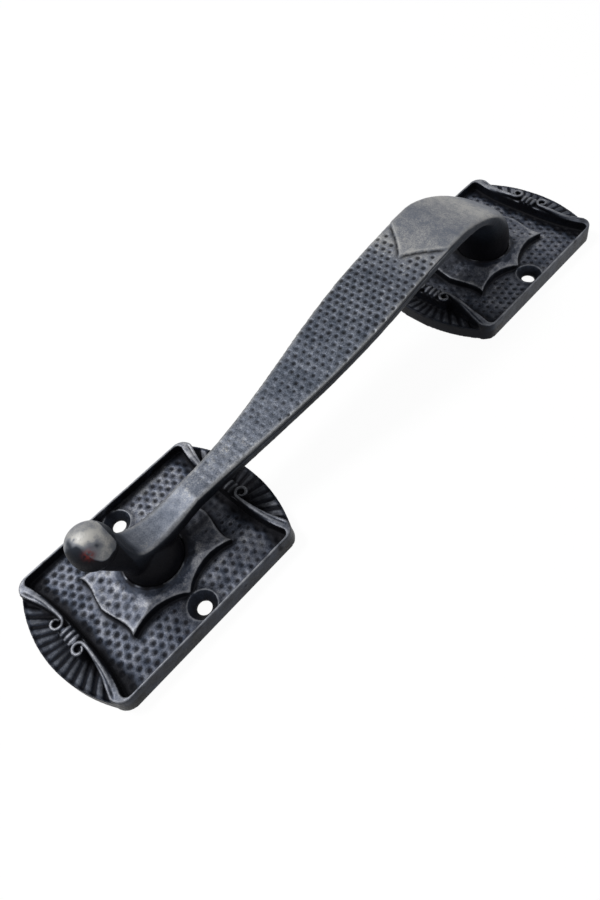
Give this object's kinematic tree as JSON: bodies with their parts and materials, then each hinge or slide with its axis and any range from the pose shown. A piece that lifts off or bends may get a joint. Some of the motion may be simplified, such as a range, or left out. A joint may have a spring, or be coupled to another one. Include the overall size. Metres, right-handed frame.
{
  "type": "door pull",
  "caption": "Cast door pull: a tapering dimpled strap with a thumb knob, raised on two round posts over plates with fluted shell ends and scrolls.",
  "frame": {"origin": "on the door's face, midway between the axes of the two posts", "axes": "+X along the pull from the lower plate with the thumb knob to the upper plate under the curl, +Y across it to the left, +Z away from the door"},
  "size_m": [0.2644, 0.0572, 0.0422],
  "materials": {
    "cast_handle": "blackened casting, rubbed lighter on its raised faces",
    "cast_plate": "blackened casting, dark in its recesses",
    "back_screw": "plain steel"
  },
  "bodies": {
    "root": {"handle": "cast_handle", "lower_plate": "cast_plate", "upper_plate": "cast_plate", "lower_screw": "back_screw", "upper_screw": "back_screw"}
  },
  "joints": []
}
